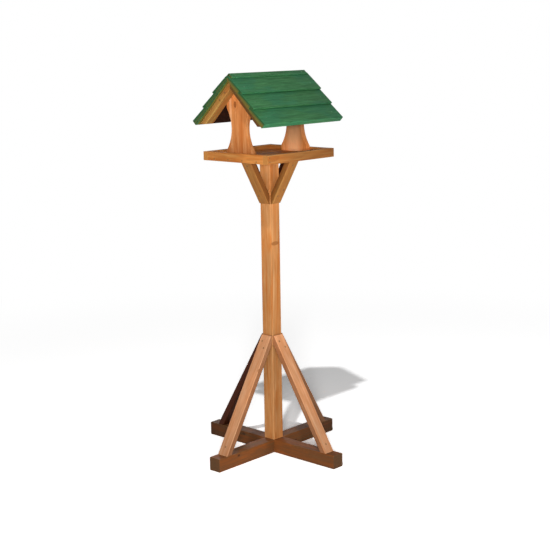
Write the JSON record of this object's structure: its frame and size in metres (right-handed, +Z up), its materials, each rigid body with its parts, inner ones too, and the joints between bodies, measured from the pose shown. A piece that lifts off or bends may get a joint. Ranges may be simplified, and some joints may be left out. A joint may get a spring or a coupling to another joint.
{
  "type": "bird table",
  "caption": "Free-standing garden bird table: braced timber post on a crossed base, an edged feeding tray and a lapped gable roof on waisted end supports.",
  "frame": {"origin": "on the ground under the middle of the post, at the centre of the crossed base's underside", "axes": "+Z up; the roof's ridge runs along Y, with a gable at each of -Y and +Y; the open sides of the house face +X and -X"},
  "size_m": [0.635, 0.635, 1.4255],
  "materials": {
    "base_timber": "rough sawn, dark stained",
    "post_timber": "planed, clear treated",
    "strut_timber": "planed, clear treated",
    "tray_timber": "planed, oiled",
    "house_timber": "planed, clear treated",
    "rafter_timber": "planed, oiled",
    "roof_paint": "opaque green stain on feather-edged boards",
    "zinc_steel": "zinc plated"
  },
  "bodies": {
    "root": {"base_beam_x": "base_timber", "base_beam_y": "base_timber", "post_screw": "zinc_steel", "post": "post_timber", "leg_front": "strut_timber", "leg_right": "strut_timber", "leg_back": "strut_timber", "leg_left": "strut_timber", "brace_front": "strut_timber", "brace_right": "strut_timber", "brace_back": "strut_timber", "brace_left": "strut_timber", "tray_board_1": "tray_timber", "tray_board_2": "tray_timber", "tray_board_3": "tray_timber", "tray_board_4": "tray_timber", "tray_end_front": "tray_timber", "tray_end_back": "tray_timber", "tray_side_left": "tray_timber", "tray_side_right": "tray_timber", "support_front": "house_timber", "support_back": "house_timber", "rafter_front_left": "rafter_timber", "rafter_front_right": "rafter_timber", "rafter_back_left": "rafter_timber", "rafter_back_right": "rafter_timber", "roof_left_1": "roof_paint", "roof_left_2": "roof_paint", "roof_left_3": "roof_paint", "ridge_cap_left": "roof_paint", "roof_right_1": "roof_paint", "roof_right_2": "roof_paint", "roof_right_3": "roof_paint", "ridge_cap_right": "roof_paint"}
  },
  "joints": []
}
